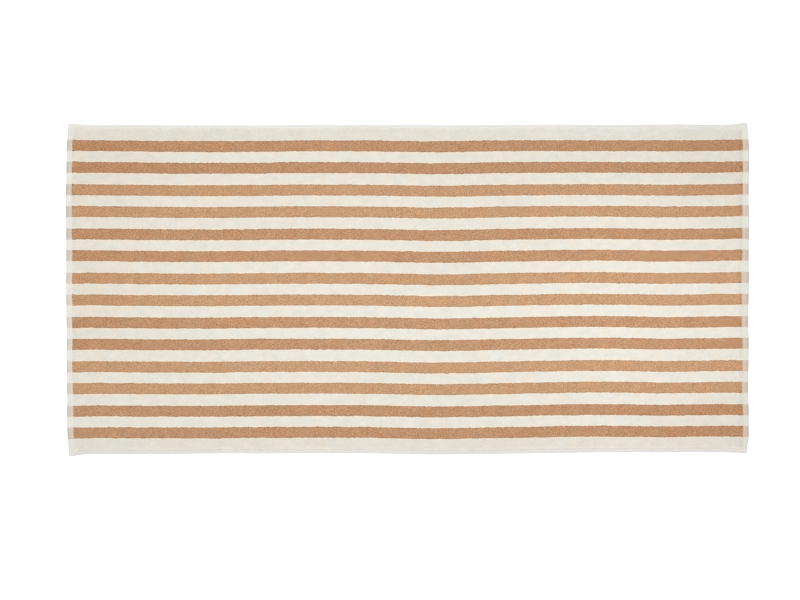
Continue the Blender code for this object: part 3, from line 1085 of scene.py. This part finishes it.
def shape_strip(piece, strip):
    """Gives a copy of the box its place on the cloth, and its loops' unevenness and tint."""
    u, v, up = points_of(piece).T
    yarn = YARNS[strip.yarn]
    across = (strip.low + strip.high) / 2 + v * (strip.high - strip.low + 2 * OVERLAP)
    left = curve_through(SHOWN, across, "left") * MM - LENGTH / 2
    right = LENGTH / 2 - curve_through(SHOWN, across, "right") * MM
    along = left + (u + 0.5) * (right - left)

    to_side = (0.5 - np.abs(v)) * (strip.high - strip.low)
    is_bare = (np.sign(v) == strip.bare) & (strip.bare != 0)
    to_hem = np.minimum(along - left, right - along)
    to_hem = np.where(is_bare, np.minimum(to_hem, to_side), to_hem)
    beside_hem = fade(to_hem, PILE_SLOPE)
    at_side = np.isclose(to_side, 0)
    shoulder = np.where(at_side & ~is_bare, yarn.shoulder * MM, 0)
    face = PILE_THICKNESS - np.maximum((PILE_THICKNESS - OUTERMOST_LOOPS) * beside_hem, shoulder)
    face += uneven(along, across, HEIGHT_UNEVENNESS, SEEDS["height"]) * (1 - CALMER * beside_hem)
    back = BACK_HEIGHT + BACK_EDGE_RISE * (at_side | np.isclose(to_hem, 0))
    back += uneven(along, across, BACK_UNEVENNESS, SEEDS["back"])
    sideways = uneven(along, across, SIDEWAYS_UNEVENNESS, SEEDS["sideways"])
    sideways += at_side * uneven(along, across, STRAY_LOOPS, SEEDS["stray"])
    endways = uneven(along, across, SIDEWAYS_UNEVENNESS, SEEDS["endways"])
    set_points(piece, np.stack([along + endways, across + sideways, np.where(up > 0, face, back)], 1))

    note(piece, "inside", np.where(is_bare, WELL_INSIDE, to_side))
    deepness = yarn.takes * sum(patch.depth * spread(patch, along, across) for patch in PATCHES)
    # Painted highlight: a line of the near border's loops painted lighter along its edge.
    on_ridge_highlight = is_bare * (strip.bare < 0) * fade(to_side - RIDGE_HIGHLIGHT_PLACE, RIDGE_HIGHLIGHT_REACH)
    lighter = np.outer(is_bare * fade(to_side, PILE_SLOPE), BESIDE_SIDE_HEM) + RIDGE_HIGHLIGHT * on_ridge_highlight[:, None]
    note(piece, "tint", tone_of(strip, along) * (1 - np.outer(deepness, DEEPER) + lighter))


def copy_of(piece):
    made = piece.copy()
    made.data = piece.data.copy()
    bpy.context.scene.collection.objects.link(made)
    return made


def raise_pile(name, strips, model, material):
    """Some strips of pile as one piece."""
    parts = []
    for place, strip in enumerate(strips):
        part = copy_of(model)
        map_strip(part, place, len(strips))
        shape_strip(part, strip)
        parts.append(part)
    piece = lay_out(joined(name, parts))
    return finish_piece(piece, material)


def raise_all_pile(materials):
    """The whole pile, in pieces that are each small enough to be handled by themselves."""
    model = model_strip()
    strips = pile_strips()
    ecru, clay, sand = (
        [strip for strip in strips if strip.yarn == yarn] for yarn in ("ecru", "clay", "sand")
    )
    third = len(ecru) // 3
    sets = (
        ("ecru_pile_near", ecru[:third], "ecru"),
        ("ecru_pile_middle", ecru[third : 2 * third], "ecru"),
        ("ecru_pile_far", ecru[2 * third :], "ecru"),
        ("clay_stripes_outer", clay[:2] + clay[-2:], "clay"),
        ("clay_stripes_inner", clay[2:-2], "clay"),
        ("sand_stripes", sand, "sand"),
    )
    made = [
        raise_pile(name, chosen, model, materials[yarn])
        for name, chosen, yarn in sets
    ]
    bpy.data.objects.remove(model)
    return made


# ---- The stitches ----------------------------------------------------------------------


def stitch_row(start, length, upright):
    """A row of stitches from a place on the flat cloth, along it or, if upright, across it."""
    bpy.ops.object.select_all(action="DESELECT")
    bpy.ops.mesh.primitive_uv_sphere_add(segments=STITCH_SIDES, ring_count=STITCH_RINGS, radius=0.5)
    row = bpy.context.object
    bpy.ops.object.mode_set(mode="EDIT")
    bpy.ops.mesh.select_all(action="SELECT")
    bpy.ops.transform.rotate(value=math.pi / 2, orient_axis="Y", center_override=(0, 0, 0))
    bpy.ops.transform.resize(value=STITCH, center_override=(0, 0, 0))
    bpy.ops.object.mode_set(mode="OBJECT")
    repeat = row.modifiers.new("repeat", "ARRAY")
    repeat.count = int(length / STITCH_PITCH)
    repeat.use_relative_offset = False
    repeat.use_constant_offset = True
    repeat.constant_offset_displace = (STITCH_PITCH, 0, 0)
    bpy.ops.object.modifier_apply(modifier=repeat.name)
    along, across, level = points_of(row).T
    if upright:
        along, across = -across, along
    along, across = along + start[0], across + start[1]
    line = (start[0], across) if upright else (along, start[1])
    hem = hem_face(*np.broadcast_arrays(*line))
    set_points(row, np.stack([along, across, level + hem + STITCH_RISE], 1))
    return row


def map_stitches(piece):
    """Lays the stitches' texture maps out on a grid of small squares, a stitch's back under its face."""
    points = points_of(piece)
    each = STITCH_SIDES * (STITCH_RINGS - 1) + 2  # points in a stitch
    count = len(points) // each
    vertex, face = corners_of(piece)
    stitch = vertex // each
    by_stitch = points.reshape(count, each, 3)
    low, high = by_stitch.min(1)[stitch], by_stitch.max(1)[stitch]
    along, across, up = ((points[vertex] - low) / (high - low)).T
    is_face = mean_by_face(face, up)[face] > 0.5
    side = math.ceil(math.sqrt(count))
    u = (stitch % side + within(STITCH_SQUARE, along)) / side
    v = (stitch // side + (within(STITCH_SQUARE, across) + is_face) / 2) / side
    set_texture_map(piece, u, v)


def sew_hems(materials):
    """The rows of stitches along the two end hems, and those along the two side hems."""
    line_along = LENGTH / 2 - END_STITCHES * MM
    line_across = WIDTH / 2 - SIDE_STITCHES * MM
    first_along, first_across = ROW_INSET - LENGTH / 2, ROW_INSET - WIDTH / 2
    ends = [
        stitch_row((side * line_along, first_across), WIDTH - 2 * ROW_INSET, upright=True)
        for side in (-1, 1)
    ]
    sides = [
        stitch_row((first_along, side * line_across), LENGTH - 2 * ROW_INSET, upright=False)
        for side in (-1, 1)
    ]
    made = []
    for name, rows in (("end_hem_stitches", ends), ("side_hem_stitches", sides)):
        piece = joined(name, rows)
        map_stitches(piece)
        lay_out(piece)
        made.append(finish_piece(piece, materials["thread"], smooth_under=180))
    return made


# ---- The studio ------------------------------------------------------------------------

VIEW_WIDTH = 1.6386  # how much of the floor the camera takes in, side to side
VIEW_MIDDLE = (-0.0150, -0.0212)
LENS = 85.0
SENSOR = 36.0

Lamp = namedtuple("Lamp", "name place aim size watts")
LAMPS = (
    Lamp("overhead_softbox", (0.0, -0.10, 2.0), (0.0, -0.10, 0), (1.2, 0.9), 23.5),
    Lamp("side_softbox", (-3.0, 2.4, 2.6), (0, 0, 0), (1.8, 1.8), 42),
)
# A gentle pool of light on the right-hand half. Its size is the pool's radius.
POOL = Lamp("pool_lamp", (0.53, -0.05, 2.0), (0.53, -0.05, 0), 0.42, 17)
POOL_LAMP_RADIUS = 0.15
SKY = 0.46  # the light that comes from all round
FLOOR_SIDE = 60.0
FLOOR_TONE = 0.95
FLOOR_GLOW = 0.3  # the floor is a lit table, which keeps it white to its edges


def hang(lamp, light):
    """Puts a light in its place, aimed and with its power."""
    light.energy = lamp.watts
    holder = bpy.data.objects.new(lamp.name, light)
    bpy.context.scene.collection.objects.link(holder)
    holder.location = lamp.place
    ahead = Vector(lamp.aim) - Vector(lamp.place)
    holder.rotation_euler = ahead.to_track_quat("-Z", "Y").to_euler()


def lay_floor():
    bpy.ops.object.select_all(action="DESELECT")
    bpy.ops.mesh.primitive_plane_add(size=FLOOR_SIDE)
    floor = bpy.context.object
    floor.name = "floor"
    paint = bpy.data.materials.new("floor_paint")
    paint.use_nodes = True
    shader = paint.node_tree.nodes["Principled BSDF"]
    shader.inputs["Base Color"].default_value = (FLOOR_TONE, FLOOR_TONE, FLOOR_TONE, 1)
    shader.inputs["Emission Color"].default_value = (1, 1, 1, 1)
    shader.inputs["Emission Strength"].default_value = FLOOR_GLOW
    shader.inputs["Roughness"].default_value = 1.0
    shader.inputs["Specular IOR Level"].default_value = 0.0
    floor.data.materials.append(paint)


def hang_lamps():
    for lamp in LAMPS:
        light = bpy.data.lights.new(lamp.name, "AREA")
        light.shape = "RECTANGLE"
        light.size, light.size_y = lamp.size
        hang(lamp, light)
    pool = bpy.data.lights.new(POOL.name, "SPOT")
    pool.spot_size = 2 * math.atan(POOL.size / POOL.place[2])
    pool.spot_blend = 1.0
    pool.shadow_soft_size = POOL_LAMP_RADIUS
    hang(POOL, pool)


def light_the_room():
    """Even light from all round, white where the camera sees it."""
    world = bpy.data.worlds.new("studio")
    world.use_nodes = True
    tree = world.node_tree
    backdrop = tree.nodes["Background"]
    backdrop.inputs["Color"].default_value = (1, 1, 1, 1)
    path = tree.nodes.new("ShaderNodeLightPath")
    seen = ranged(tree, path.outputs["Is Camera Ray"], 0.0, 1.0, SKY, 1.0)
    put(tree, backdrop.inputs["Strength"], seen)
    bpy.context.scene.world = world


def set_up_camera():
    """A camera that looks straight down."""
    camera = bpy.data.cameras.new("camera")
    camera.lens = LENS
    camera.sensor_width = SENSOR
    holder = bpy.data.objects.new("camera", camera)
    bpy.context.scene.collection.objects.link(holder)
    holder.location = (*VIEW_MIDDLE, VIEW_WIDTH * LENS / SENSOR + HEM_THICKNESS / 2)
    bpy.context.scene.camera = holder
    bpy.context.scene.view_settings.view_transform = "Standard"


# ---- The towel -------------------------------------------------------------------------

materials = dye_materials()
cloth = weave_ground_cloth(materials)
pile = raise_all_pile(materials)
stitches = sew_hems(materials)
lay_floor()
hang_lamps()
light_the_room()
set_up_camera()
